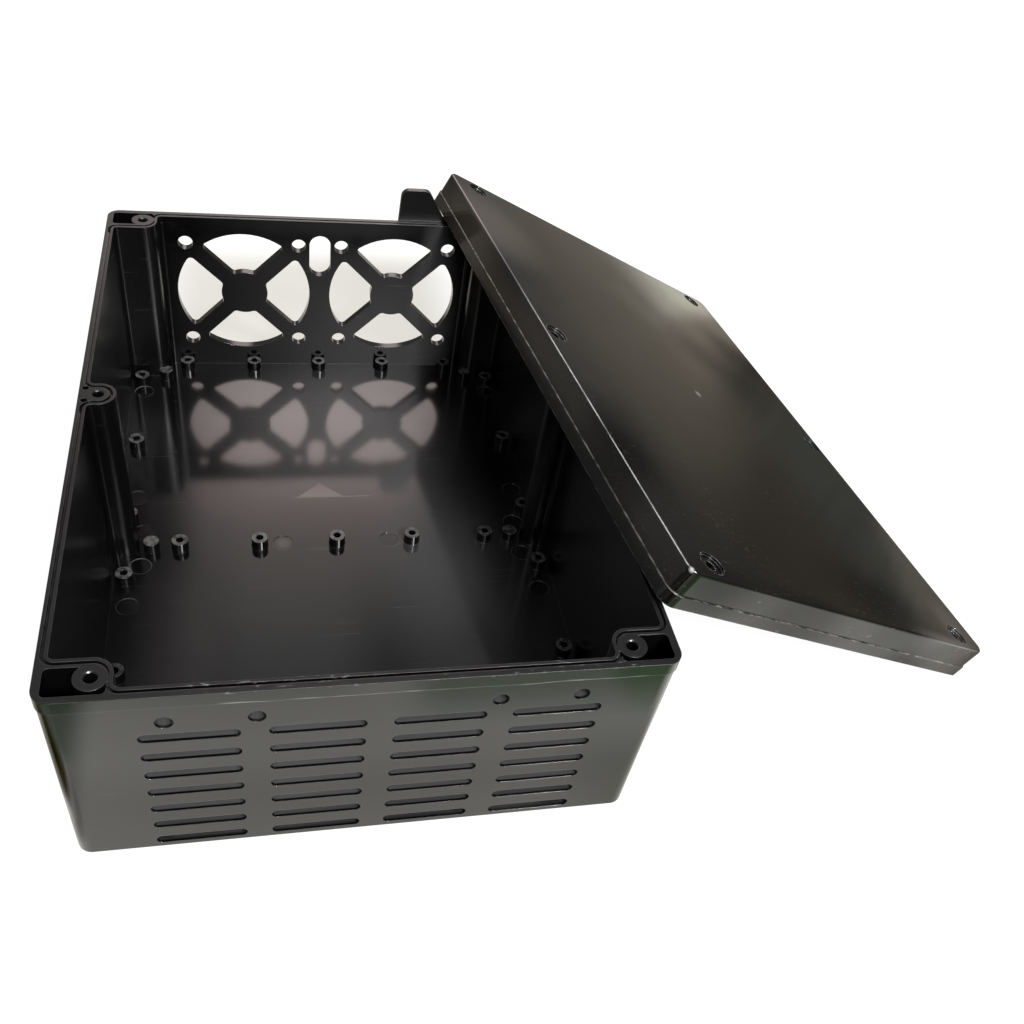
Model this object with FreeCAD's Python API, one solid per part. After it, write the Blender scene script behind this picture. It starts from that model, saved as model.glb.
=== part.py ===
import FreeCAD, Part
import math
import os

# A ventilated instrument case moulded in black plastic: a deep open base and its lid.
# Millimetres. Origin at the centre of the base's underside, X to the right, Y to the fan wall, Z up.
# The lid lies off the base: it leans on the right-hand rim with its far edge on the table.

# Driving dimensions of the two shells
case_width = 182.0
case_length = 263.0
base_height = 80.0
lid_height = 15.0
corner_radius = 5.0
floor_thickness = 2.5
lid_plate_thickness = 2.5
foot_draft = 0.52
foot_edge_radius = 0.8
rim_band_height = 5.0
rim_band_step = 0.3
lid_step_height = 5.0
lid_step_inset = 0.5
lid_edge_radius = 1.0

# Sealing rim: a land outside, a groove, and a ridge beside the cavity
side_land = 1.05
end_land = 1.95
groove_width = 1.05
ridge_width = 1.05
groove_depth = 1.3

# Corner screw bosses, the pockets they stand in and the curved wall that shuts the pocket off
corner_boss_from_side = 14.6
corner_boss_from_end = 7.95
corner_boss_diameter = 9.2
boss_to_cavity_side = 1.3
boss_to_cavity_end = 2.15
post_wall_radius = 5.8
pocket_side_wall = 2.4
pocket_end_wall = 2.2
pocket_flank_wall = 1.7
pocket_curved_wall = 3.05
pocket_corner_radius = 1.5
cavity_corner_radius = 1.75
cavity_end_radius = 2.0
groove_stop_clearance = 0.3

# Screw bosses half way along the sides, moulded onto the wall
middle_boss_from_side = 6.45
middle_boss_radius = 6.05
middle_boss_blend = 2.0
core_hole_diameter = 2.2
core_hole_from_side = 2.1
core_hole_spread = 3.5
core_hole_depth = 20.0

# Screw holes
screw_pilot_diameter = 3.5
screw_pilot_mouth = 4.3
screw_pilot_depth = 25.0
lid_hole_diameter = 4.1
lid_counterbore_diameter = 9.8
lid_counterbore_depth = 1.0

# Louvres and round holes of the front wall
louvre_columns = 4
louvre_rows = 7
louvre_length = 28.0
louvre_height = 4.0
louvre_column_pitch = 35.7
louvre_top_row_height = 60.5
louvre_floor_gap = 0.1
front_field_offset = 1.4
front_hole_diameter = 5.2
front_hole_height = 67.8
front_hole_spread = 24.9
front_pair_spread = 94.8

# Two fan grilles in the rear wall and the cable slot between them
fan_spread = 69.4
fan_centre_height = 42.6
fan_opening_diameter = 60.0
fan_hub_diameter = 21.0
fan_spoke_width = 7.0
fan_spoke_angle = 45.0
fan_segment_radius = 2.0
fan_screw_spacing = 50.0
fan_screw_diameter = 6.5
cable_slot_width = 9.7
cable_slot_foot = 52.5
cable_slot_top = 72.9

# Tab behind the rear wall, above the rim
tab_left = 35.8
tab_width = 21.3
tab_above_rim = 14.4
tab_below_rim = 6.0
tab_gap = 0.5
tab_thickness = 2.6
tab_corner_radius = 3.6
tab_side_lean = 1.0
tab_right_lean = 7.9
tab_foot_right = 62.0
tab_foot_above_rim = 1.2

# Stand-offs, pegs and ejector marks on the floor
standoff_height = 4.5
standoff_top_diameter = 6.4
standoff_foot_diameter = 6.7
standoff_hole_diameter = 3.0
standoff_hole_depth = 4.0
row_pitch = 31.5
end_row_from_end = 7.5
side_row_from_side = 7.7
side_row_first = 17.0
side_row_pitch = 47.4
peg_diameter = 6.0
middle_peg_from_side = 17.0
corner_peg_from_side = 18.3
corner_peg_from_end = 15.6
ejector_mark_diameter = 8.4
ejector_mark_depth = 0.3
ejector_marks = ((81.5, 30.5), (78.0, 9.5), (82.4, 104.4))
middle_ejector_marks = ((-22.0, 0.9), (22.0, 0.9))

# How the lid lies: its turn on the table, where its lowest corner stands, and the seating clearance
lid_turn = 7.86
lid_foot_out = 158.7
lid_foot_back = 48.4
lid_seat_clearance = 0.05

# Derived places
half_width = case_width / 2
half_length = case_length / 2
side_rim = side_land + groove_width + ridge_width
end_rim = end_land + groove_width + ridge_width
corner_boss_radius = corner_boss_diameter / 2
corner_boss_x = half_width - corner_boss_from_side
corner_boss_y = half_length - corner_boss_from_end
middle_boss_x = half_width - middle_boss_from_side
flank_x = corner_boss_x - corner_boss_radius - boss_to_cavity_side
post_face_y = corner_boss_y - corner_boss_radius - boss_to_cavity_end
front_face_y = -half_length
overshoot = 1.0

quadrants = ((1, 1), (-1, 1), (-1, -1), (1, -1))


def at(x, y, z=0.0):
    return FreeCAD.Vector(x, y, z)


def polar(centre, radius, degrees):
    turn = math.radians(degrees)
    return at(centre.x + radius * math.cos(turn), centre.y + radius * math.sin(turn))


def arc(centre, radius, start, end):
    middle = (start + end) / 2
    points = [polar(centre, radius, angle) for angle in (start, middle, end)]
    return Part.Arc(*points).toShape()


def line(start, end):
    return Part.LineSegment(start, end).toShape()


def rounded_outline(corners, radii):
    """A closed outline in the XY plane whose corners are rounded by their own radii."""
    count = len(corners)
    starts, ends, arcs = [], [], []
    for index, corner in enumerate(corners):
        before = (corners[index - 1] - corner).normalize()
        after = (corners[(index + 1) % count] - corner).normalize()
        radius = radii[index]
        half_angle = before.getAngle(after) / 2
        reach = radius / math.tan(half_angle)
        starts.append(corner + before * reach)
        ends.append(corner + after * reach)
        if radius > 0:
            bisector = (before + after).normalize()
            middle = corner + bisector * (radius / math.sin(half_angle) - radius)
            arcs.append(Part.Arc(starts[-1], middle, ends[-1]).toShape())
    sides = [line(ends[index], starts[(index + 1) % count]) for index in range(count)]
    return Part.Wire(Part.__sortEdges__(sides + arcs))


def rounded_rectangle(width, length, radius, z=0.0):
    corners = [at(side * width / 2, end * length / 2) for side, end in quadrants]
    outline = rounded_outline(corners, [radius] * 4)
    outline.translate(at(0, 0, z))
    return outline


def prism(outline, z_low, z_high):
    solid = Part.Face(outline).extrude(at(0, 0, z_high - z_low))
    solid.translate(at(0, 0, z_low))
    return solid


def pin(x, y, diameter, z_low, z_high):
    return Part.makeCylinder(diameter / 2, z_high - z_low, at(x, y, z_low))


def block(x_low, x_high, y_low, y_high, z_low, z_high):
    return Part.makeBox(x_high - x_low, y_high - y_low, z_high - z_low, at(x_low, y_low, z_low))


def in_quadrants(shape):
    """The shape of one quadrant, mirrored into all four."""
    right = [shape, shape.mirror(at(0, 0), at(0, 1, 0))]
    left = [copy.mirror(at(0, 0), at(1, 0, 0)) for copy in right]
    return right + left


def screw_places():
    corners = [(side * corner_boss_x, end * corner_boss_y) for side, end in quadrants]
    return corners + [(middle_boss_x, 0.0), (-middle_boss_x, 0.0)]


def cavity_quarter(grow):
    """Edges of the cavity's outline in one quadrant, moved outward by grow."""
    side_x = half_width - side_rim + grow
    end_y = half_length - end_rim + grow
    boss = at(middle_boss_x, 0)
    boss_radius = middle_boss_radius - grow
    blend_radius = middle_boss_blend + grow
    blend_x = side_x - blend_radius
    blend_y = math.sqrt((boss_radius + blend_radius) ** 2 - (blend_x - boss.x) ** 2)
    blend = at(blend_x, blend_y)
    boss_angle = math.degrees(math.atan2(blend_y, blend_x - boss.x))
    corner_radius_here = cavity_corner_radius + grow
    corner = at(side_x - corner_radius_here, post_face_y + grow - corner_radius_here)
    post_radius = post_wall_radius - grow
    post = at(flank_x + post_wall_radius, post_face_y + post_wall_radius)
    end_radius = cavity_end_radius + grow
    end_corner = at(post.x - post_radius - end_radius, end_y - end_radius)
    return [
        arc(boss, boss_radius, 180, boss_angle),
        arc(blend, blend_radius, boss_angle + 180, 360),
        line(at(side_x, blend_y), at(side_x, corner.y)),
        arc(corner, corner_radius_here, 0, 90),
        line(at(corner.x, post.y - post_radius), at(post.x, post.y - post_radius)),
        arc(post, post_radius, 270, 180),
        line(at(post.x - post_radius, post.y), at(post.x - post_radius, end_corner.y)),
        arc(end_corner, end_radius, 0, 90),
        line(at(end_corner.x, end_y), at(0, end_y)),
    ]


def cavity_outline(grow=0.0):
    edges = []
    for edge in cavity_quarter(grow):
        edges += in_quadrants(edge)
    return Part.Wire(Part.__sortEdges__(edges))


def corner_pockets(z_low, z_high):
    """The deep pockets outside the curved walls, with the screw bosses left standing."""
    x_high = half_width - pocket_side_wall
    y_high = half_length - pocket_end_wall
    x_low = flank_x + pocket_flank_wall
    y_low = post_face_y + pocket_curved_wall
    outline = rounded_rectangle(x_high - x_low, y_high - y_low, pocket_corner_radius)
    outline.translate(at((x_high + x_low) / 2, (y_high + y_low) / 2))
    pocket = prism(outline, z_low, z_high)
    boss = pin(corner_boss_x, corner_boss_y, corner_boss_diameter, z_low, z_high)
    return in_quadrants(pocket.cut(boss))


def tapered_block(foot_inset, top_inset, height):
    """A block whose four walls lean out from the foot to the top, with rounded upright corners."""
    frustum = Part.makeWedge(foot_inset - half_width, -height, foot_inset - half_length,
                             top_inset - half_length, top_inset - half_width,
                             half_width - foot_inset, 0, half_length - foot_inset,
                             half_length - top_inset, half_width - top_inset)
    frustum.rotate(at(0, 0), at(1, 0, 0), 90)
    frustum.translate(at(0, 0, height))
    uprights = [edge for edge in frustum.Edges if edge.BoundBox.ZLength > height / 2]
    return frustum.makeFillet(corner_radius, uprights)


def base_outside():
    """The tapering wall below and the slightly proud band at the rim."""
    band_foot = base_height - rim_band_height
    wall = tapered_block(foot_draft, rim_band_step, band_foot)
    foot_edges = [edge for edge in wall.Edges if edge.BoundBox.ZMax < foot_edge_radius / 2]
    wall = wall.makeFillet(foot_edge_radius, foot_edges)
    band = prism(rounded_rectangle(case_width, case_length, corner_radius), band_foot, base_height)
    return wall.fuse(band)


def sealing_groove():
    """A groove round the rim that stops at the corner bosses and their short flank wall."""
    z_low = base_height - groove_depth
    z_high = base_height + overshoot
    outer = prism(cavity_outline(ridge_width + groove_width), z_low, z_high)
    inner = prism(cavity_outline(ridge_width), z_low, z_high)
    boss = pin(corner_boss_x, corner_boss_y, corner_boss_diameter, z_low, z_high)
    flank = block(flank_x, flank_x + pocket_flank_wall + groove_stop_clearance,
                  corner_boss_y, half_length - end_rim - cavity_end_radius, z_low, z_high)
    return outer.cut([inner] + in_quadrants(boss) + in_quadrants(flank))


def screw_pilots():
    """Blind holes with a chamfered mouth in the six screw bosses."""
    chamfer = (screw_pilot_mouth - screw_pilot_diameter) / 2
    cuts = []
    for x, y in screw_places():
        cuts.append(pin(x, y, screw_pilot_diameter, base_height - screw_pilot_depth, base_height + overshoot))
        cuts.append(Part.makeCone(screw_pilot_diameter / 2, screw_pilot_mouth / 2, chamfer,
                                  at(x, y, base_height - chamfer)))
    core_x = half_width - core_hole_from_side
    core = pin(core_x, core_hole_spread, core_hole_diameter,
               base_height - core_hole_depth, base_height + overshoot)
    return cuts + in_quadrants(core)


def through_wall(outline, y_low, y_high):
    """A cutter through an end wall from an outline drawn with X across and Y upright."""
    cutter = Part.Face(outline).extrude(at(0, 0, y_low - y_high))
    cutter.rotate(at(0, 0), at(1, 0, 0), 90)
    cutter.translate(at(0, y_low, 0))
    return cutter


def front_openings():
    """The louvres and the four round holes of the front wall."""
    outside = front_face_y - overshoot
    inside = front_face_y + end_rim + overshoot
    louvre_foot_row = floor_thickness + louvre_floor_gap + louvre_height / 2
    row_pitch_here = (louvre_top_row_height - louvre_foot_row) / (louvre_rows - 1)
    louvre = through_wall(rounded_rectangle(louvre_length, louvre_height, louvre_height / 2 - 0.001),
                          outside, inside)
    cuts = []
    for column in range(louvre_columns):
        x = front_field_offset + (column - (louvre_columns - 1) / 2) * louvre_column_pitch
        for row in range(louvre_rows):
            cuts.append(louvre.translated(at(x, 0, louvre_foot_row + row * row_pitch_here)))
    for pair in (-1, 1):
        for hole in (-1, 1):
            x = front_field_offset + pair * front_pair_spread / 2 + hole * front_hole_spread / 2
            cuts.append(Part.makeCylinder(front_hole_diameter / 2, inside - outside,
                                          at(x, outside, front_hole_height), at(0, 1, 0)))
    return cuts


def fan_grille(x):
    """Four rounded segments between the hub and the spokes, and the fan's screw holes."""
    inside = half_length - end_rim - overshoot
    depth = end_rim + 2 * overshoot
    centre = at(x, inside, fan_centre_height)
    along = at(0, 1, 0)
    ring = Part.makeCylinder(fan_opening_diameter / 2, depth, centre, along)
    hub = Part.makeCylinder(fan_hub_diameter / 2, depth, centre, along)
    spoke = block(x - fan_opening_diameter, x + fan_opening_diameter, inside, inside + depth,
                  fan_centre_height - fan_spoke_width / 2, fan_centre_height + fan_spoke_width / 2)
    for tool in (ring, hub):
        tool.rotate(centre, along, fan_spoke_angle)
    spokes = [spoke.copy().rotate(centre, along, turn) for turn in (fan_spoke_angle, -fan_spoke_angle)]
    segments = ring.cut([hub] + spokes)
    uprights = [edge for edge in segments.Edges if edge.BoundBox.YLength > depth / 2]
    segments = segments.makeFillet(fan_segment_radius, uprights)
    screws = []
    for side, end in quadrants:
        place = centre + at(side * fan_screw_spacing / 2, 0, end * fan_screw_spacing / 2)
        screws.append(Part.makeCylinder(fan_screw_diameter / 2, depth, place, along))
    return [segments] + screws


def cable_slot():
    height = cable_slot_top - cable_slot_foot
    outline = rounded_rectangle(cable_slot_width, height, cable_slot_width / 2 - 0.001)
    slot = through_wall(outline, half_length - end_rim - overshoot, half_length + overshoot)
    return slot.translated(at(0, 0, (cable_slot_top + cable_slot_foot) / 2))


def rear_tab():
    """The rounded tab that stands up behind the rear rim, clear of where the lid closes."""
    foot = base_height - tab_below_rim
    top = base_height + tab_above_rim
    shoulder = base_height + tab_foot_above_rim
    right = tab_left + tab_width
    corners = [at(tab_left, foot), at(tab_foot_right, foot), at(tab_foot_right, shoulder),
               at(right, shoulder), at(right - tab_right_lean, top), at(tab_left + tab_side_lean, top)]
    outline = rounded_outline(corners, [0, 0, 0, 0, tab_corner_radius, tab_corner_radius])
    inner_y = half_length + tab_gap
    tab = through_wall(outline, inner_y, inner_y + tab_thickness)
    root = block(tab_left, tab_foot_right, half_length - end_land, inner_y, foot, base_height)
    return tab.fuse(root)


def standoff(x, y):
    """A hollow tapering stand-off on the floor."""
    body = Part.makeCone(standoff_foot_diameter / 2, standoff_top_diameter / 2, standoff_height,
                         at(x, y, floor_thickness))
    top = floor_thickness + standoff_height
    return body.cut(pin(x, y, standoff_hole_diameter, top - standoff_hole_depth, top))


def standoffs():
    """Rows along the middle and the two ends, and three in each quadrant beside the side walls."""
    shapes = []
    end_row_y = half_length - end_row_from_end
    for step in (-2, -1, 0, 1, 2):
        for y in (-end_row_y, 0.0, end_row_y):
            shapes.append(standoff(step * row_pitch, y))
    side_x = half_width - side_row_from_side
    for step in range(3):
        shapes += in_quadrants(standoff(side_x, side_row_first + step * side_row_pitch))
    return shapes


def pegs():
    z_high = floor_thickness + standoff_height
    middle_x = half_width - middle_peg_from_side
    corner_x = half_width - corner_peg_from_side
    corner_y = half_length - corner_peg_from_end
    shapes = [pin(side * middle_x, 0, peg_diameter, floor_thickness, z_high) for side in (-1, 1)]
    return shapes + in_quadrants(pin(corner_x, corner_y, peg_diameter, floor_thickness, z_high))


def ejector_mark(x, y):
    return pin(x, y, ejector_mark_diameter, floor_thickness - ejector_mark_depth, floor_thickness + overshoot)


def ejector_cuts():
    cuts = [ejector_mark(x, y) for x, y in middle_ejector_marks]
    for x, y in ejector_marks:
        cuts += in_quadrants(ejector_mark(x, y))
    return cuts


def base_housing():
    shell = base_outside().fuse(rear_tab())
    above = base_height + overshoot
    hollows = [prism(cavity_outline(), floor_thickness, above)]
    hollows += corner_pockets(floor_thickness, above)
    shell = shell.cut(hollows)
    shell = shell.cut([sealing_groove()] + screw_pilots())
    shell = shell.cut(front_openings())
    shell = shell.cut(fan_grille(-fan_spread / 2) + fan_grille(fan_spread / 2) + [cable_slot()])
    shell = shell.cut(ejector_cuts())
    return shell.fuse(standoffs() + pegs()).removeSplitter()


def lid_outside():
    """The lid's block: a proud band at the foot, the slightly smaller cap and its rounded top edge."""
    skirt = prism(rounded_rectangle(case_width, case_length, corner_radius), 0, lid_step_height)
    cap = prism(rounded_rectangle(case_width - 2 * lid_step_inset, case_length - 2 * lid_step_inset,
                                  corner_radius - lid_step_inset), lid_step_height, lid_height)
    top_edges = [edge for edge in cap.Edges if edge.BoundBox.ZMin > lid_height - lid_edge_radius / 2]
    return skirt.fuse(cap.makeFillet(lid_edge_radius, top_edges))


def lid_flat():
    """The lid as it closes, its skirt's lower edge at z 0."""
    ceiling = lid_height - lid_plate_thickness
    hollows = [prism(cavity_outline(), -overshoot, ceiling)] + corner_pockets(-overshoot, ceiling)
    shell = lid_outside().cut(hollows)
    holes = []
    for x, y in screw_places():
        holes.append(pin(x, y, lid_hole_diameter, -overshoot, lid_height + overshoot))
        holes.append(pin(x, y, lid_counterbore_diameter, lid_height - lid_counterbore_depth,
                         lid_height + overshoot))
    return shell.cut(holes).removeSplitter()


def lid_rest():
    """Where the lid comes to rest, from its three contacts.

    Its lowest corner stands on the table, its left skirt lies on the base's right rim near the
    front, and its plate lies on the rim's rear right corner.
    """
    turn = math.radians(lid_turn)
    heading = at(-math.sin(turn), math.cos(turn))
    foot = at(half_width + lid_foot_out, front_face_y + lid_foot_back)
    rim_top = base_height + lid_seat_clearance
    corner_reach = case_width / 2 - corner_radius
    skirt_end = half_length - post_face_y + cavity_corner_radius
    rim_contact = at(half_width, front_face_y + skirt_end, rim_top)
    normal = at(0, 0, 1)
    for _ in range(20):
        bulge = at(normal.x, normal.y).normalize() if normal.z < 1 else at(1, 0)
        rear_contact = at(half_width - corner_radius, half_length - corner_radius, rim_top)
        rear_contact = rear_contact + bulge * corner_radius
        along = (rim_contact - foot).normalize()
        to_rear = rear_contact - foot
        across = to_rear - along * along.dot(to_rear)
        reach = across.Length
        across.normalize()
        upright = across.cross(along)
        if upright.z < 0:
            upright = upright * -1
        rise = (lid_height - lid_plate_thickness) / reach
        normal = across * rise + upright * math.sqrt(1 - rise ** 2)
        length_axis = (heading - normal * normal.dot(heading)).normalize()
        width_axis = length_axis.cross(normal)
        downhill = (normal * normal.z - at(0, 0, 1)).normalize()
        corner = at(corner_reach, corner_radius - half_length)
        corner = corner + at(downhill.dot(width_axis), downhill.dot(length_axis)) * corner_radius
        origin = foot - width_axis * corner.x - length_axis * corner.y
        length_place = half_length + (rim_contact - origin).dot(length_axis)
        rim_contact.y += skirt_end - length_place
    matrix = FreeCAD.Matrix(width_axis.x, length_axis.x, normal.x, origin.x,
                            width_axis.y, length_axis.y, normal.y, origin.y,
                            width_axis.z, length_axis.z, normal.z, origin.z,
                            0, 0, 0, 1)
    return FreeCAD.Placement(matrix)


def lid():
    shape = lid_flat()
    shape.Placement = lid_rest().multiply(shape.Placement)
    return shape


def export(name, shape):
    solids = shape.Solids
    print(name, "solids", len(solids), "valid", shape.isValid(), "volume cm3", round(shape.Volume / 1000, 2))
    solids[0].exportStep(os.path.join("parts", name + ".step"))


os.makedirs("parts", exist_ok=True)
export("base_housing", base_housing())
export("lid", lid())
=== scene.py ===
import math

import bpy
from mathutils import Matrix, Vector

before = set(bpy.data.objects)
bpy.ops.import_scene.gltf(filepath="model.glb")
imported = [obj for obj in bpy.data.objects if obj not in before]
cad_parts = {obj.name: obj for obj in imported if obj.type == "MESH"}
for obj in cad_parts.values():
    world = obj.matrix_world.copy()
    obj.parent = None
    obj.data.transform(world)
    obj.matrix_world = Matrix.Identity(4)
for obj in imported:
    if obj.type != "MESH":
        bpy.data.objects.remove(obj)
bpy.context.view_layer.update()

mm = 0.001


def addNode(tree, kind, **settings):
    node = tree.nodes.new(kind)
    for name, value in settings.items():
        setattr(node, name, value)
    return node


def link(tree, source, target):
    tree.links.new(source, target)


def mathNode(tree, operation, *values):
    node = addNode(tree, "ShaderNodeMath", operation=operation)
    for socket, value in zip(node.inputs, values):
        if isinstance(value, (int, float)):
            socket.default_value = value
        else:
            link(tree, value, socket)
    return node.outputs[0]


def times(tree, *factors):
    total = factors[0]
    for factor in factors[1:]:
        total = mathNode(tree, "MULTIPLY", total, factor)
    return total


def larger(tree, first, second):
    return mathNode(tree, "MAXIMUM", first, second)


def hypotenuse(tree, first, second):
    squares = mathNode(tree, "ADD", times(tree, first, first), times(tree, second, second))
    return mathNode(tree, "SQRT", squares)


def softStep(tree, value, low, high, start=0.0, end=1.0, shape="SMOOTHSTEP"):
    node = addNode(tree, "ShaderNodeMapRange", clamp=True, interpolation_type=shape)
    for socket, number in (("From Min", low), ("From Max", high), ("To Min", start), ("To Max", end)):
        node.inputs[socket].default_value = number
    link(tree, value, node.inputs["Value"])
    return node.outputs["Result"]


def ramp(tree, value, low, high, start=0.0, end=1.0):
    return softStep(tree, value, low, high, start, end, "LINEAR")


def band(tree, value, low, high, soft):
    rising = softStep(tree, value, low - soft, low + soft)
    falling = softStep(tree, value, high - soft, high + soft, 1.0, 0.0)
    return times(tree, rising, falling)


def split(tree, vector):
    node = addNode(tree, "ShaderNodeSeparateXYZ")
    link(tree, vector, node.inputs["Vector"])
    return node.outputs["X"], node.outputs["Y"], node.outputs["Z"]


def scaled(tree, color, amount):
    node = addNode(tree, "ShaderNodeVectorMath", operation="SCALE")
    if isinstance(color, tuple):
        node.inputs[0].default_value = color
    else:
        link(tree, color, node.inputs[0])
    link(tree, amount, node.inputs["Scale"])
    return node.outputs["Vector"]


def added(tree, first, second):
    node = addNode(tree, "ShaderNodeVectorMath", operation="ADD")
    link(tree, first, node.inputs[0])
    link(tree, second, node.inputs[1])
    return node.outputs["Vector"]


def dotWith(tree, vector, direction):
    node = addNode(tree, "ShaderNodeVectorMath", operation="DOT_PRODUCT")
    link(tree, vector, node.inputs[0])
    node.inputs[1].default_value = direction
    return node.outputs["Value"]


def mixed(tree, factor, first, second):
    node = addNode(tree, "ShaderNodeMix", data_type="RGBA")
    link(tree, factor, node.inputs["Factor"])
    for socket, color in ((node.inputs["A"], first), (node.inputs["B"], second)):
        if isinstance(color, tuple):
            socket.default_value = color
        else:
            link(tree, color, socket)
    return node.outputs["Result"]


# Soft-edged rectangle, 1 inside and 0 outside, in metres
def patchMask(tree, x, y, across, along, soft):
    return times(tree, band(tree, x, *across, soft), band(tree, y, *along, soft))


def noise(tree, place, scale, detail=2.0, roughness=0.5):
    node = addNode(tree, "ShaderNodeTexNoise")
    node.inputs["Scale"].default_value = scale
    node.inputs["Detail"].default_value = detail
    node.inputs["Roughness"].default_value = roughness
    link(tree, place, node.inputs["Vector"])
    return node.outputs["Fac"]


# Cloudy mask between two levels: scale of the noise, its lower and upper edge
def mottled(tree, place, scale, low, high, least=0.0, most=1.0, detail=1.0):
    return ramp(tree, noise(tree, place, scale, detail), low, high, least, most)


# Place for a noise that runs in lines along the axes
def stretched(tree, place, scale, turn=(0.0, 0.0, 0.0)):
    node = addNode(tree, "ShaderNodeMapping")
    node.inputs["Rotation"].default_value = turn
    node.inputs["Scale"].default_value = scale
    link(tree, place, node.inputs["Vector"])
    return node.outputs["Vector"]


# Place for a noise that runs in lines along a turned direction
def brushed(tree, place, turn, along, across):
    node = addNode(tree, "ShaderNodeMapping", vector_type="TEXTURE")
    node.inputs["Rotation"].default_value = (0.0, 0.0, turn)
    node.inputs["Scale"].default_value = (1.0 / along, 1.0 / across, 1.0 / along)
    link(tree, place, node.inputs["Vector"])
    return node.outputs["Vector"]


# 1 for the rays that see the white background straight
def directRay(tree, rays):
    return larger(tree, rays.outputs["Is Camera Ray"], rays.outputs["Is Transmission Ray"])


# Camera, matched to the photograph's viewpoint; turns are in radians
camera = {
    "place": (-30.471 * mm, -298.748 * mm, 305.874 * mm),
    "pitch": 2.3701,
    "yaw": -0.2219,
    "roll": -0.0342,
    "focalPixels": 1004.72,
    "imagePixels": 1024.0,
    "centrePixel": (489.38, 543.59),
    "sensor": 36.0,
    "nearest": 0.01,
}


def makeCamera():
    data = bpy.data.cameras.new("photoCamera")
    data.sensor_width = camera["sensor"]
    data.lens = camera["focalPixels"] / camera["imagePixels"] * camera["sensor"]
    half = camera["imagePixels"] / 2
    data.shift_x = (half - camera["centrePixel"][0]) / camera["imagePixels"]
    data.shift_y = (camera["centrePixel"][1] - half) / camera["imagePixels"]
    data.clip_start = camera["nearest"]
    turn = (Matrix.Rotation(camera["roll"], 3, "Z") @ Matrix.Rotation(camera["yaw"], 3, "Y")
            @ Matrix.Rotation(camera["pitch"], 3, "X"))
    flip = Matrix(((1, 0, 0), (0, -1, 0), (0, 0, -1)))
    holder = bpy.data.objects.new("photoCamera", data)
    holder.matrix_world = Matrix.Translation(camera["place"]) @ (turn.transposed() @ flip).to_4x4()
    bpy.context.collection.objects.link(holder)
    bpy.context.scene.camera = holder


# Pale floor, white to the camera, with softer light where the gloss mirrors it. Lengths in metres
floor = {
    "size": 16.0,
    "height": -0.0002,
    "color": (0.8, 0.8, 0.8, 1.0),
    "roughness": 0.9,
    "whiteness": 0.9,
    "whiteStrength": 1.325,
    "mirrored": 0.28,
    "warm": (1.12, 0.98, 0.78),
    # Soft shade close behind the part: x range, y range, softness, colour
    "shade": ((-0.075, 0.075), (0.100, 0.238), 0.018, (0.60, 0.586, 0.54, 1.0)),
    # Sectors round a point under the lid: degrees, softness, distances, change of the glow at those two
    "sectorCentre": (0.152, 0.031),
    "dimSectors": [
        ((47.0, 85.0), 0.10, (0.30, 0.60), (0.17, 0.17)),
        ((40.0, 52.0), 0.06, (0.30, 0.60), (0.18, 0.0)),
        ((38.0, 60.0), 0.06, (2.0, 5.0), (0.0, 0.16)),
    ],
    "brightSector": ((31.0, 39.0), 0.09, (0.35, 0.9), (0.20, 0.0)),
    # Soft patches of light and shade: x range, y range, softness, colour
    "patches": [
        ((-0.0945, 0.60), (-0.70, -0.105), 0.006, (1.18, 1.20, 1.17)),
        ((-0.135, -0.095), (-0.30, -0.162), 0.009, (0.04, 0.20, 0.08)),
        ((-0.60, -0.118), (-0.70, -0.100), 0.010, (-0.20, -0.17, -0.19)),
        ((-0.108, -0.097), (-0.165, -0.115), 0.005, (0.80, 0.80, 0.78)),
        ((0.104, 0.60), (-0.70, -0.171), 0.007, (-0.36, -0.24, -0.36)),
        ((0.025, 0.60), (-0.70, -0.177), 0.012, (-0.76, -0.62, -0.73)),
        ((-0.30, 0.13), (-0.156, -0.120), 0.012, (-0.34, -0.34, -0.33)),
        ((-0.30, 0.00), (-0.70, -0.188), 0.006, (-0.34, -0.31, -0.32)),
        ((0.074, 0.13), (-0.165, -0.10), 0.020, (-0.25, -0.24, -0.26)),
        ((-0.60, -0.12), (-0.30, 0.30), 0.08, (0.5, 0.5, 0.5)),
        ((-0.20, 0.10), (0.134, 0.24), 0.03, (0.8, 0.8, 0.78)),
    ],
    # Light to the right of the part, mirrored in the lid's far corner; its y range leans with x
    "leaningPatch": ((0.28, 0.425), (-0.228, 0.30), 0.014, (1.00, 1.00, 0.87)),
    "lean": 1.63,
}


def sectorLight(tree, angle, distance, sector):
    degrees, soft, distances, change = sector
    low, high = (math.radians(edge) for edge in degrees)
    return times(tree, band(tree, angle, low, high, soft), softStep(tree, distance, *distances, *change))


def floorGlow(tree, x, y):
    aside = mathNode(tree, "SUBTRACT", x, floor["sectorCentre"][0])
    behind = mathNode(tree, "SUBTRACT", y, floor["sectorCentre"][1])
    angle = mathNode(tree, "ARCTAN2", aside, behind)
    distance = hypotenuse(tree, aside, behind)
    dim = None
    for sector in floor["dimSectors"]:
        light = sectorLight(tree, angle, distance, sector)
        dim = larger(tree, dim, light) if dim else light
    glow = mathNode(tree, "SUBTRACT", floor["mirrored"], dim)
    glow = mathNode(tree, "ADD", glow, sectorLight(tree, angle, distance, floor["brightSector"]))
    total = scaled(tree, floor["warm"], glow)
    for across, along, soft, color in floor["patches"]:
        total = added(tree, total, scaled(tree, color, patchMask(tree, x, y, across, along, soft)))
    leaning = mathNode(tree, "SUBTRACT", y, times(tree, x, floor["lean"]))
    across, along, soft, color = floor["leaningPatch"]
    return added(tree, total, scaled(tree, color, patchMask(tree, x, leaning, across, along, soft)))


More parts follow.
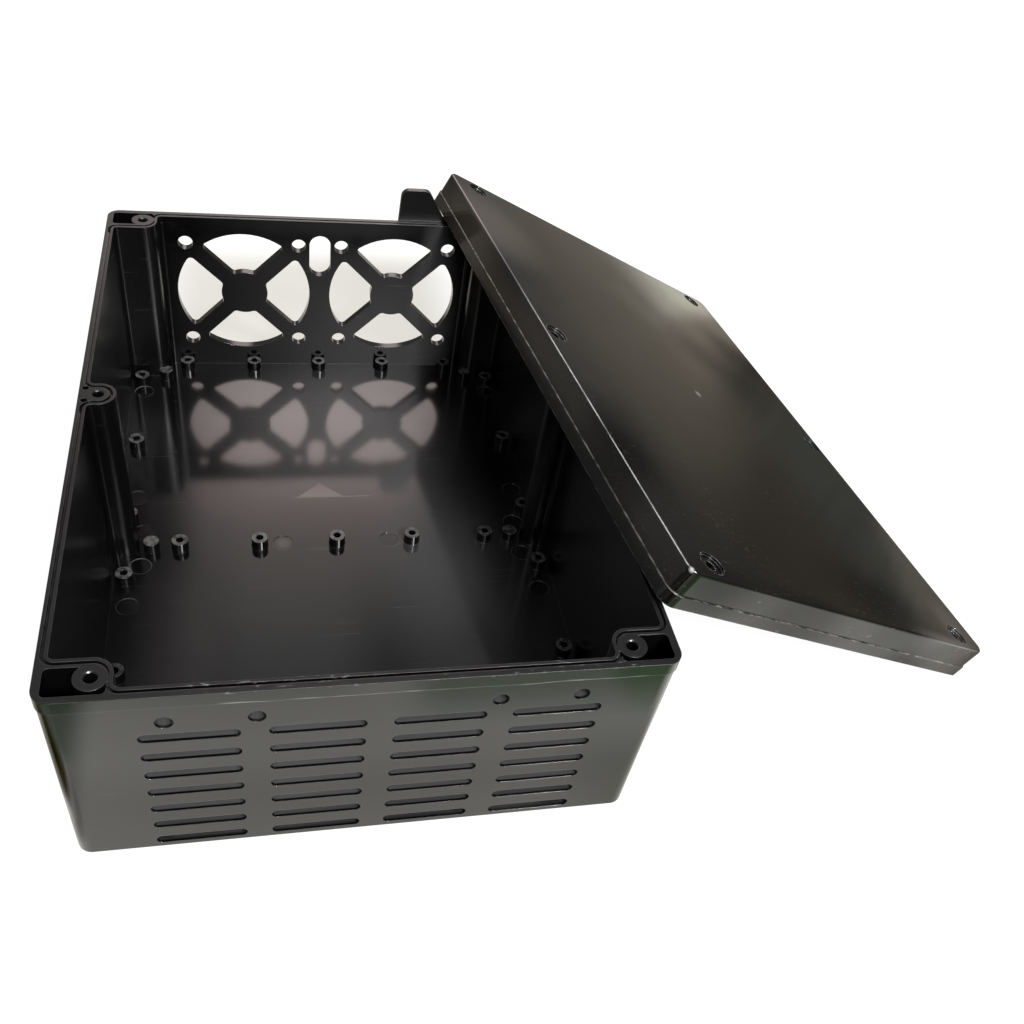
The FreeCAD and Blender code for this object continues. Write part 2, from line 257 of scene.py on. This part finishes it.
def mixShader(tree, factor, first, second):
    node = addNode(tree, "ShaderNodeMixShader")
    link(tree, factor, node.inputs["Fac"])
    link(tree, first, node.inputs[1])
    link(tree, second, node.inputs[2])
    return node.outputs["Shader"]


def makeFloor():
    bpy.ops.mesh.primitive_plane_add(size=floor["size"], location=(0, 0, floor["height"]))
    plane = bpy.context.object
    plane.name = "paleFloor"
    material = bpy.data.materials.new("paleFloor")
    material.use_nodes = True
    tree = material.node_tree
    shader = tree.nodes["Principled BSDF"]
    shader.inputs["Roughness"].default_value = floor["roughness"]
    x, y, z = split(tree, addNode(tree, "ShaderNodeTexCoord").outputs["Object"])
    across, along, soft, shade = floor["shade"]
    tone = mixed(tree, patchMask(tree, x, y, across, along, soft), floor["color"], shade)
    link(tree, tone, shader.inputs["Base Color"])
    white = addNode(tree, "ShaderNodeEmission")
    white.inputs["Strength"].default_value = floor["whiteStrength"]
    link(tree, tone, white.inputs["Color"])
    glow = addNode(tree, "ShaderNodeEmission")
    link(tree, floorGlow(tree, x, y), glow.inputs["Color"])
    rays = addNode(tree, "ShaderNodeLightPath")
    seen = mixShader(tree, times(tree, directRay(tree, rays), floor["whiteness"]), shader.outputs["BSDF"],
                     white.outputs["Emission"])
    surface = mixShader(tree, rays.outputs["Is Glossy Ray"], seen, glow.outputs["Emission"])
    link(tree, surface, tree.nodes["Material Output"].inputs["Surface"])
    plane.data.materials.append(material)


# Light of the room round the part
room = {
    # Window behind the part: degrees above the horizon, strength, tint
    "windowSteps": [
        (0.0, 0.10, (1.0, 1.0, 1.0)),
        (5.0, 0.25, (1.0, 0.95, 0.92)),
        (20.0, 2.5, (1.0, 0.83, 0.82)),
        (36.5, 3.0, (1.0, 0.84, 0.84)),
        (39.0, 3.5, (1.0, 0.83, 0.81)),
        (41.0, 2.7, (1.0, 0.80, 0.78)),
        (43.0, 1.95, (1.0, 0.80, 0.78)),
        (44.5, 1.15, (1.0, 0.86, 0.82)),
        (46.5, 0.97, (1.0, 0.89, 0.82)),
        (48.6, 0.80, (1.0, 0.93, 0.88)),
        (51.0, 0.56, (1.0, 0.98, 0.97)),
        (54.0, 0.36, (1.0, 1.0, 1.0)),
        (90.0, 0.20, (1.0, 1.0, 1.0)),
    ],
    "windowBrightest": 6.0,
    # Soft sides of the window in degrees, and the right one's lean: height where it is nil, slope
    "windowLeft": (-11.0, 0.5),
    "windowRight": (7.5, 14.5),
    "windowLean": (0.695, 0.47),
    # Lamp behind the camera and its glow, in degrees: aside, up, full size, soft size; then strength
    "lamps": [
        (24.0, 42.0, 5.0, 8.0, 130.0),
        (9.0, 36.0, 1.5, 7.0, 10.0),
        (8.0, 38.0, 6.0, 26.0, 3.6),
    ],
    # Even light at the horizon and above it, and a soft box overhead
    "horizon": 0.10,
    "walls": 0.30,
    "wallsFrom": 0.25,
    "boxAim": (0.10, -0.30, 0.95),
    "boxSize": (0.88, 0.95),
    "box": 3.0,
}


def windowGlow(tree, x, y, z):
    steps = addNode(tree, "ShaderNodeValToRGB")
    steps.color_ramp.interpolation = "LINEAR"
    marks = steps.color_ramp.elements
    while len(marks) < len(room["windowSteps"]):
        marks.new(0.5)
    for mark, (degrees, strength, tint) in zip(marks, room["windowSteps"]):
        mark.position = math.sin(math.radians(degrees))
        level = strength / room["windowBrightest"]
        mark.color = (tint[0] * level, tint[1] * level, tint[2] * level, 1.0)
    link(tree, z, steps.inputs["Fac"])
    aside = mathNode(tree, "ARCTAN2", x, y)
    left = softStep(tree, aside, *(math.radians(edge) for edge in room["windowLeft"]))
    height, slope = room["windowLean"]
    lean = times(tree, mathNode(tree, "SUBTRACT", z, height), slope)
    right = softStep(tree, mathNode(tree, "ADD", aside, lean),
                     *(math.radians(edge) for edge in room["windowRight"]), 1.0, 0.0)
    return scaled(tree, steps.outputs["Color"], times(tree, left, right, room["windowBrightest"]))


def roomGlow(tree, direction, z):
    overhead = dotWith(tree, direction, Vector(room["boxAim"]).normalized())
    box = softStep(tree, overhead, *room["boxSize"], 0.0, room["box"])
    walls = softStep(tree, z, 0.0, room["wallsFrom"], room["horizon"], room["walls"])
    level = mathNode(tree, "ADD", box, walls)
    for side, up, full, soft, strength in room["lamps"]:
        side, up, full, soft = (math.radians(angle) for angle in (side, up, full, soft))
        aim = (math.sin(side) * math.cos(up), -math.cos(side) * math.cos(up), math.sin(up))
        spot = softStep(tree, dotWith(tree, direction, aim), math.cos(soft), math.cos(full), 0.0, strength)
        level = mathNode(tree, "ADD", level, spot)
    return scaled(tree, (1.0, 1.0, 1.0), level)


def makeRoom():
    world = bpy.data.worlds.new("studio")
    bpy.context.scene.world = world
    world.use_nodes = True
    tree = world.node_tree
    direction = addNode(tree, "ShaderNodeTexCoord").outputs["Generated"]
    x, y, z = split(tree, direction)
    light = added(tree, windowGlow(tree, x, y, z), roomGlow(tree, direction, z))
    rays = addNode(tree, "ShaderNodeLightPath")
    link(tree, mixed(tree, directRay(tree, rays), light, (1.0, 1.0, 1.0, 1.0)),
         tree.nodes["Background"].inputs["Color"])


# What both mouldings share. Widths in millimetres, scales in cycles per metre
plastic = {
    "index": 1.53,
    "bevel": 0.25,
    "bevelSamples": 6,
    # Wear: how rough it is; and the pale edges, worn and with painted highlights: their width
    "wornRoughness": 0.5,
    "edge": 0.4,
    "edgeSamples": 4,
    "edgeAngle": (0.80, 0.98),
    "edgeBreaks": (320.0, 0.40, 0.65),
    "edgeLeast": 0.1,
    # Two sets of fine scratches, in patches
    "scratchTurns": [((0.3, 0.2, 0.5), 1.0), ((0.1, 0.4, -0.9), 2.3)],
    "scratchStretch": (25.0, 2600.0, 900.0),
    "scratchWidth": (0.70, 0.76),
    "scratchPatches": (38.0, 0.52, 0.62),
    # Dust: cells, size of a speck, patches
    "dustScale": 260.0,
    "dustSize": (0.035, 0.075),
    "dustPatches": (60.0, 0.56, 0.60),
    # Clouds of more and less gloss
    "cloudScale": 26.0,
    "cloudDetail": (4.0, 0.6),
    "cloudEdges": (0.35, 0.70),
    # Share of a soft area's reach where it is at its full strength
    "areaCore": 0.15,
}


def scratchMask(tree, place, turn, seed):
    lines = noise(tree, stretched(tree, place, plastic["scratchStretch"], turn), 1.0, 1.0)
    turned = stretched(tree, place, (1.0, 1.0, 1.0), (0.0, 0.0, seed))
    return times(tree, ramp(tree, lines, *plastic["scratchWidth"]),
                 mottled(tree, turned, *plastic["scratchPatches"]))


def dustMask(tree, place):
    cells = addNode(tree, "ShaderNodeTexVoronoi", feature="F1")
    cells.inputs["Scale"].default_value = plastic["dustScale"]
    link(tree, place, cells.inputs["Vector"])
    speck = ramp(tree, cells.outputs["Distance"], *plastic["dustSize"], 1.0, 0.0)
    return times(tree, speck, mottled(tree, place, *plastic["dustPatches"]))


def wearMask(tree, place, look):
    first, second = (scratchMask(tree, place, turn, seed) for turn, seed in plastic["scratchTurns"])
    scratches = times(tree, larger(tree, first, second), look["scratches"])
    return larger(tree, scratches, times(tree, dustMask(tree, place), look["dust"]))


def bevelNormal(tree, radius, samples):
    bevel = addNode(tree, "ShaderNodeBevel", samples=samples)
    bevel.inputs["Radius"].default_value = radius * mm
    return bevel.outputs["Normal"]


def edgeMask(tree, place, look):
    turn = addNode(tree, "ShaderNodeVectorMath", operation="DOT_PRODUCT")
    link(tree, bevelNormal(tree, plastic["edge"], plastic["edgeSamples"]), turn.inputs[0])
    link(tree, addNode(tree, "ShaderNodeNewGeometry").outputs["True Normal"], turn.inputs[1])
    sharp = ramp(tree, turn.outputs["Value"], *plastic["edgeAngle"], 1.0, 0.0)
    return times(tree, sharp, mottled(tree, place, *plastic["edgeBreaks"], plastic["edgeLeast"],
                                      look["edgeWearAndHighlightStrength"], detail=3.0))


def roughNormal(tree, place, look):
    normal = bevelNormal(tree, plastic["bevel"], plastic["bevelSamples"])
    for scale, detail, height in ((look["wavinessScale"], 1.0, look["waviness"]),
                                  (look["grainScale"], 2.0, look["grain"])):
        bump = addNode(tree, "ShaderNodeBump")
        bump.inputs["Strength"].default_value = 1.0
        bump.inputs["Distance"].default_value = height
        link(tree, noise(tree, place, scale, detail), bump.inputs["Height"])
        link(tree, normal, bump.inputs["Normal"])
        normal = bump.outputs["Normal"]
    return normal


# Distance from a centre in shares of the reach, both in millimetres
def shareOut(tree, place, centre, reach):
    shift = addNode(tree, "ShaderNodeVectorMath", operation="SUBTRACT")
    link(tree, place, shift.inputs[0])
    shift.inputs[1].default_value = [value * mm for value in centre]
    fit = addNode(tree, "ShaderNodeVectorMath", operation="DIVIDE")
    link(tree, shift.outputs["Vector"], fit.inputs[0])
    fit.inputs[1].default_value = [value * mm for value in reach]
    size = addNode(tree, "ShaderNodeVectorMath", operation="LENGTH")
    link(tree, fit.outputs["Vector"], size.inputs[0])
    return size.outputs["Value"]


def areaMask(tree, place, centre, reach, core):
    return softStep(tree, shareOut(tree, place, centre, reach), core, 1.0, 1.0, 0.0)


def areaSums(tree, place, areas):
    change, addedColor = None, None
    for centre, reach, index, grey in areas:
        mask = areaMask(tree, place, centre, reach, plastic["areaCore"])
        if index:
            part = times(tree, mask, index)
            change = mathNode(tree, "ADD", change, part) if change else part
        if grey:
            part = scaled(tree, grey, mask)
            addedColor = added(tree, addedColor, part) if addedColor else part
    return change, addedColor


def facingMask(tree, direction, low=0.93, high=0.98):
    normal = addNode(tree, "ShaderNodeNewGeometry").outputs["True Normal"]
    return ramp(tree, dotWith(tree, normal, direction), low, high)


def cloudyRoughness(tree, place, look, paleMarks):
    clouds = noise(tree, place, plastic["cloudScale"], *plastic["cloudDetail"])
    half = look["roughnessSpread"] / 2
    rough = ramp(tree, clouds, *plastic["cloudEdges"], look["roughness"] - half, look["roughness"] + half)
    return larger(tree, rough, times(tree, paleMarks, plastic["wornRoughness"]))


def newPlastic(name):
    material = bpy.data.materials.new(name)
    material.use_nodes = True
    tree = material.node_tree
    return material, tree, addNode(tree, "ShaderNodeTexCoord").outputs["Object"]


def setPlastic(tree, place, look, paleMarks, addedColor, rough, change):
    shader = tree.nodes["Principled BSDF"]
    color = mixed(tree, paleMarks, look["color"], look["markColor"])
    link(tree, added(tree, color, addedColor), shader.inputs["Base Color"])
    link(tree, rough, shader.inputs["Roughness"])
    link(tree, roughNormal(tree, place, look), shader.inputs["Normal"])
    shader.inputs["IOR"].default_value = plastic["index"]
    link(tree, mathNode(tree, "ADD", change, plastic["index"]), shader.inputs["IOR"])


# Black moulded plastic of the deep base. Places and widths in millimetres, scales in cycles per metre,
# waviness and grain in metres
baseHousing = {
    "color": (0.0012, 0.0012, 0.0013, 1.0),
    "markColor": (0.045, 0.044, 0.042, 1.0),
    "roughness": 0.11,
    "roughnessSpread": 0.04,
    "waviness": 0.00012,
    "wavinessScale": 14.0,
    "grain": 0.000006,
    "grainScale": 1400.0,
    "scratches": 0.35,
    "dust": 0.4,
    "edgeWearAndHighlightStrength": 0.6,
    "edgeWearAndHighlightColor": (0.05, 0.05, 0.048),
    "edgeFoot": (2.4, 3.5, 0.35),  # the pale edges, worn and with painted highlights, are fainter below these heights
    # Soft areas: centre, reach, change of the index of refraction, pale colour added. Two make parts of the
    # floor paler, one is a pale ejector mark, and the two on the inner face of the rear wall are painted
    # glow of light
    "areas": [
        ((46, -35, 2.5), (42, 130, 0.8), 0.0, (0.021, 0.021, 0.021)),
        ((5, 76, 2.5), (78, 62, 0.8), 0.0, (0.026, 0.024, 0.024)),
        ((-22, 0.9, 2.3), (4.6, 4.6, 0.8), 0.1, (0.014, 0.011, 0.011)),
        ((-77, 10, 2.5), (26, 130, 0.8), -0.28, None),
        ((-88, 0, 42), (20, 140, 60), -0.26, None),
        ((-78, 104, 12), (22, 34, 30), -0.24, None),
        # Painted glow of light on the inner face of the rear wall
        ((56, 127.4, 30), (15, 1.2, 70), 0.0, (0.06, 0.06, 0.06)),
        ((-60, 127.4, 40), (44, 1.2, 70), -0.2, None),
        ((10, 127.4, 79), (70, 1.2, 10), 0.0, (0.006, 0.006, 0.006)),
    ],
    # Duller area of the floor: centre, reach, share at full strength, added roughness
    "dullArea": ((-74, -62, 2.5), (36, 64, 0.8), 0.5, 0.20),
    # Rings left by ejector pins on the floor, painted pale as the highlights on their edges, mirrored to all
    # sides: x, y, radius; and the floor's height
    "floorBand": (2.1, 2.6, 0.1),
    "rings": [(81.5, 30.5, 4.2), (78.0, 9.5, 4.2), (82.4, 104.4, 4.2)],
    "middleRing": (22.0, 0.9, 4.2),
    "ringWidth": 0.16,
    "ringBreaks": (120.0, 0.40, 0.60, 0.1, 0.7),
    # Pale triangle and line at the gate on the floor: the gate's mark, with a painted reflection of its
    # shallow dome
    "gate": {"foot": 28.4, "centre": -5.0, "height": 9.5, "slope": 0.9, "soft": (0.6, 1.0),
             "fade": (9.0, 0.45), "line": (-0.2, 0.3, 0.2), "lineAcross": (-16.0, 16.5, 4.0),
             "addedColor": (0.046, 0.037, 0.031)},
    # Painted highlights at the right ends of the louvres, on the wall's inner edge
    "ticks": {"firstColumn": -52.15, "pitch": 35.7, "zone": (11.0, 14.4, 0.2), "wall": (-128.4, -126.8, 0.1),
              "top": 64.0, "addedColor": (0.9, 0.9, 0.88)},
    # Scuffs and painted highlights on the rim of the front wall
    "rimScuffsAndGlints": {"wall": -127.0, "height": (79.4, 79.5), "stretch": (350.0, 900.0, 900.0),
               "specks": (0.60, 0.72), "patches": (45.0, 0.50, 0.60), "addedColor": (0.10, 0.10, 0.10)},
    # Painted highlight along the step at the front of the rim's band, wavy and broken in places
    "bandLine": {"height": (74.6, 75.3, 0.2), "wall": -130.9, "across": (-42.0, 79.0, 4.0),
                 "bendScale": 40.0, "bend": (1.0, 0.3, 0.7, -0.0006, 0.0006),
                 "breaks": (90.0, 0.40, 0.60, 0.15, 1.0), "addedColor": (0.07, 0.07, 0.068)},
    # Painted light on the walls of the louvres and holes through the front wall, fainter low down
    "lips": {"wall": (-130.2, -127.7, 0.1), "top": 76.0, "fade": (4.0, 20.0, 0.3),
             "addedColor": (0.030, 0.030, 0.030)},
    # Painted highlights on the tops of the stand-offs, broken in places
    "standoffs": {"height": (6.9, 7.1, 0.05), "breaks": (420.0, 0.35, 0.62, 0.15, 1.0),
                  "addedColor": (0.045, 0.045, 0.044)},
    # Satin top of the rim, and inner side walls and corner posts a little duller than the floor
    "rim": {"height": (79.7, 79.85), "roughness": 0.34},
    "inner": {"sides": (66.0, 88.5, 0.3), "heights": (3.0, 80.0, 0.3), "ends": (-1.0, 127.0, 0.3),
              "roughness": 0.24},
}


def bandMm(tree, value, limits):
    low, high, soft = (limit * mm for limit in limits)
    return band(tree, value, low, high, soft)


# 1 below the limit and 0 above it, softened over a fifth of a millimetre
def below(tree, value, limit):
    return softStep(tree, value, (limit - 0.1) * mm, (limit + 0.1) * mm, 1.0, 0.0)


def onFloor(tree, z):
    return bandMm(tree, z, baseHousing["floorBand"])


def ringMask(tree, x, y, ring):
    width = baseHousing["ringWidth"]
    distance = hypotenuse(tree, mathNode(tree, "SUBTRACT", x, ring[0] * mm),
                          mathNode(tree, "SUBTRACT", y, ring[1] * mm))
    return bandMm(tree, distance, (ring[2] - width, ring[2] + width, width))


def ejectorRingsAndHighlights(tree, place, x, y, z):
    mirroredX = mathNode(tree, "ABSOLUTE", x)
    mirroredY = mathNode(tree, "ABSOLUTE", y)
    mask = ringMask(tree, mirroredX, y, baseHousing["middleRing"])
    for ring in baseHousing["rings"]:
        mask = larger(tree, mask, ringMask(tree, mirroredX, mirroredY, ring))
    return times(tree, mask, mottled(tree, place, *baseHousing["ringBreaks"]), onFloor(tree, z))


def gateMarkAndReflection(tree, x, y, z):
    gate = baseHousing["gate"]
    rise = mathNode(tree, "SUBTRACT", y, gate["foot"] * mm)
    aside = mathNode(tree, "ABSOLUTE", mathNode(tree, "SUBTRACT", x, gate["centre"] * mm))
    fall = mathNode(tree, "ADD", rise, times(tree, aside, gate["slope"]))
    footSoft, topSoft = gate["soft"]
    peak = times(tree, softStep(tree, rise, 0.0, footSoft * mm),
                 softStep(tree, fall, (gate["height"] - topSoft) * mm, gate["height"] * mm, 1.0, 0.0))
    fadeHeight, faded = gate["fade"]
    peak = times(tree, peak, ramp(tree, rise, 0.0, fadeHeight * mm, 1.0, faded))
    line = times(tree, bandMm(tree, rise, gate["line"]), bandMm(tree, x, gate["lineAcross"]))
    return scaled(tree, gate["addedColor"], times(tree, larger(tree, peak, line), onFloor(tree, z)))


def tickHighlight(tree, x, y, z, edges):
    ticks = baseHousing["ticks"]
    pitch = ticks["pitch"] * mm
    column = mathNode(tree, "DIVIDE", mathNode(tree, "SUBTRACT", x, ticks["firstColumn"] * mm), pitch)
    column = times(tree, mathNode(tree, "FRACT", column), pitch)
    mask = times(tree, bandMm(tree, column, ticks["zone"]), bandMm(tree, y, ticks["wall"]), edges,
                 below(tree, z, ticks["top"]))
    return scaled(tree, ticks["addedColor"], mask)


def scuffsAndHighlights(tree, place, y, z):
    rimScuffsAndGlints = baseHousing["rimScuffsAndGlints"]
    specks = ramp(tree, noise(tree, stretched(tree, place, rimScuffsAndGlints["stretch"]), 1.0, 2.0), *rimScuffsAndGlints["specks"])
    onRim = times(tree, below(tree, y, rimScuffsAndGlints["wall"]),
                  softStep(tree, z, *(height * mm for height in rimScuffsAndGlints["height"])))
    return scaled(tree, rimScuffsAndGlints["addedColor"], times(tree, specks, mottled(tree, place, *rimScuffsAndGlints["patches"]), onRim))


def bandStepHighlight(tree, place, x, y, z):
    stepLine = baseHousing["bandLine"]
    bend = mottled(tree, stretched(tree, place, (stepLine["bendScale"], 0.0, 0.0)), *stepLine["bend"])
    line = times(tree, bandMm(tree, mathNode(tree, "ADD", z, bend), stepLine["height"]),
                 bandMm(tree, x, stepLine["across"]), below(tree, y, stepLine["wall"]),
                 mottled(tree, place, *stepLine["breaks"]))
    return scaled(tree, stepLine["addedColor"], line)


def lipPaintedLight(tree, y, z):
    lips = baseHousing["lips"]
    low, high, least = lips["fade"]
    mask = times(tree, below(tree, z, lips["top"]), bandMm(tree, y, lips["wall"]),
                 softStep(tree, z, low * mm, high * mm, least, 1.0))
    return scaled(tree, lips["addedColor"], mask)


def standoffHighlight(tree, place, z):
    tops = baseHousing["standoffs"]
    mask = times(tree, facingMask(tree, (0.0, 0.0, 1.0)), bandMm(tree, z, tops["height"]),
                 mottled(tree, place, *tops["breaks"]))
    return scaled(tree, tops["addedColor"], mask)


def baseRoughness(tree, place, x, y, z, paleMarks):
    rough = cloudyRoughness(tree, place, baseHousing, paleMarks)
    rim, inner = baseHousing["rim"], baseHousing["inner"]
    onRim = ramp(tree, z, *(height * mm for height in rim["height"]))
    rough = larger(tree, rough, times(tree, onRim, rim["roughness"]))
    walls = times(tree, bandMm(tree, mathNode(tree, "ABSOLUTE", x), inner["sides"]),
                  bandMm(tree, z, inner["heights"]),
                  bandMm(tree, mathNode(tree, "ABSOLUTE", y), inner["ends"]))
    rough = larger(tree, rough, times(tree, walls, inner["roughness"]))
    *area, dullness = baseHousing["dullArea"]
    return mathNode(tree, "ADD", rough, times(tree, areaMask(tree, place, *area), dullness))


def makeBasePlastic():
    material, tree, place = newPlastic("basePlastic")
    x, y, z = split(tree, place)
    edges = edgeMask(tree, place, baseHousing)
    # Scratches and dust, and the ejector rings painted pale for the highlights on their edges
    paleMarks = larger(tree, wearMask(tree, place, baseHousing), ejectorRingsAndHighlights(tree, place, x, y, z))
    change, addedColor = areaSums(tree, place, baseHousing["areas"])
    # Edges painted pale, worn and with painted highlights, fainter near the floor
    low, high, least = baseHousing["edgeFoot"]
    edgeWearAndHighlightColor = scaled(tree, scaled(tree, baseHousing["edgeWearAndHighlightColor"], edges),
                      softStep(tree, z, low * mm, high * mm, least, 1.0))
    # Add the gate mark with its painted reflection, painted highlights on ticks, band step and stand-offs,
    # painted light on the lips, scuffs with highlights, and the pale edges
    for layer in (gateMarkAndReflection(tree, x, y, z), tickHighlight(tree, x, y, z, edges), scuffsAndHighlights(tree, place, y, z),
                  bandStepHighlight(tree, place, x, y, z), lipPaintedLight(tree, y, z), standoffHighlight(tree, place, z),
                  edgeWearAndHighlightColor):
        addedColor = added(tree, addedColor, layer)
    setPlastic(tree, place, baseHousing, paleMarks, addedColor, baseRoughness(tree, place, x, y, z, paleMarks), change)
    return material


# The same plastic on the lid, flatter and with more handling marks. Units as in the base
lid = {
    "color": (0.0016, 0.0016, 0.0015, 1.0),
    "markColor": (0.16, 0.155, 0.15, 1.0),
    "roughness": 0.12,
    "roughnessSpread": 0.06,
    "waviness": 0.00016,
    "wavinessScale": 11.0,
    "grain": 0.000010,
    "grainScale": 1400.0,
    "scratches": 0.25,
    "dust": 0.3,
    "edgeWearAndHighlightStrength": 0.9,
    # Edges painted pale: wear and painted highlights
    "edgeWearAndHighlightColor": (0.30, 0.295, 0.29),
    # Soft areas: centre, reach, change of the index of refraction, pale colour added: painted reflections
    # and highlights on the top and front, a painted glint at the near corner, and a faint blue-green tint
    "areas": [
        ((73, 109, 93), (40, 45, 30), 0.1, (0.030, 0.025, 0.020)),
        ((214, 113, 22), (32, 32, 40), -0.38, None),
        ((190, 84, 36), (40, 32, 44), -0.30, None),
        ((143, 148, 55), (34, 34, 40), -0.14, None),
        ((85, 20, 93), (22, 55, 30), 0.20, None),
        ((110, 26, 79), (55, 88, 60), 0.16, None),
        ((91, -50, 92), (26, 34, 25), -0.36, None),
        ((97, -90, 92), (22, 26, 20), 0.06, None),
        ((200, -80, 40), (52, 30, 42), -0.33, None),
        ((112, -110, 86), (30, 18, 25), -0.24, None),
        ((245, -76, 19), (14, 20, 12), 0.4, (0.01, 0.01, 0.01)),
        ((159, 33, 55), (2.2, 3.0, 3.0), 0.6, (0.10, 0.10, 0.09)),
        ((150, -101, 62), (48, 8, 44), -0.22, None),
        ((236, -91, 18), (34, 7, 40), 0.0, (0.045, 0.044, 0.042)),
        # Painted glint at the near corner
        ((96.9, -107.0, 94.2), (1.2, 1.6, 1.4), 0.0, (0.25, 0.25, 0.25)),
        ((224, -6, 26), (58, 125, 56), 0.0, (0.001, 0.004, 0.0045)),
    ],
    # Shallow ripples of the plate: turn in radians, scales along and across them, change of the index
    "ripples": {"centre": (216, -24, 30), "reach": (56, 72, 56), "core": 0.3, "turn": 0.84,
                "scale": (4.0, 140.0), "edges": (0.35, 0.65), "change": 0.22},
    # Painted light on the long side and a painted highlight on the edge above it, fading to the rear
    "side": {"facing": (-0.884, -0.122, 0.450), "addedColor": (0.011, 0.011, 0.011), "fade": (-15.0, 70.0)},
    "topEdge": {"facing": (-0.310, -0.046, 0.950), "facingEdges": (0.960, 0.985),
                "breaks": (70.0, 0.35, 0.60, 0.25, 1.0), "addedColor": (0.26, 0.26, 0.25), "fade": (10.0, 60.0)},
}


def rippleChange(tree, place):
    ripples = lid["ripples"]
    lines = noise(tree, brushed(tree, place, ripples["turn"], *ripples["scale"]), 1.0, 1.0)
    wave = ramp(tree, lines, *ripples["edges"], -0.5, 0.5)
    mask = areaMask(tree, place, ripples["centre"], ripples["reach"], ripples["core"])
    return times(tree, wave, mask, ripples["change"])


def fadingPaintedLight(tree, y, side, mask):
    low, high = (limit * mm for limit in side["fade"])
    return scaled(tree, side["addedColor"], times(tree, mask, softStep(tree, y, low, high, 1.0, 0.0)))


def makeLidPlastic():
    material, tree, place = newPlastic("lidPlastic")
    x, y, z = split(tree, place)
    edges = edgeMask(tree, place, lid)
    paleMarks = wearMask(tree, place, lid)
    change, addedColor = areaSums(tree, place, lid["areas"])
    side, topEdge = lid["side"], lid["topEdge"]
    onSide = facingMask(tree, side["facing"])
    onTopEdge = times(tree, facingMask(tree, topEdge["facing"], *topEdge["facingEdges"]),
                      mottled(tree, place, *topEdge["breaks"], detail=2.0))
    # Pale edges (wear and painted highlights), painted light on the long side and a painted highlight on its
    # top edge
    for layer in (scaled(tree, lid["edgeWearAndHighlightColor"], edges), fadingPaintedLight(tree, y, side, onSide),
                  fadingPaintedLight(tree, y, topEdge, onTopEdge)):
        addedColor = added(tree, addedColor, layer)
    change = mathNode(tree, "ADD", change, rippleChange(tree, place))
    setPlastic(tree, place, lid, paleMarks, addedColor, cloudyRoughness(tree, place, lid, paleMarks), change)
    return material


def dress(node, material):
    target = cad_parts[node]
    target.data.materials.clear()
    target.data.materials.append(material)


bpy.context.scene.view_settings.view_transform = "Standard"
makeCamera()
print("camera ready")
makeFloor()
print("floor ready")
makeRoom()
print("room light ready")

dress("base_housing", makeBasePlastic())
print("base plastic ready")
dress("lid", makeLidPlastic())
print("lid plastic ready")
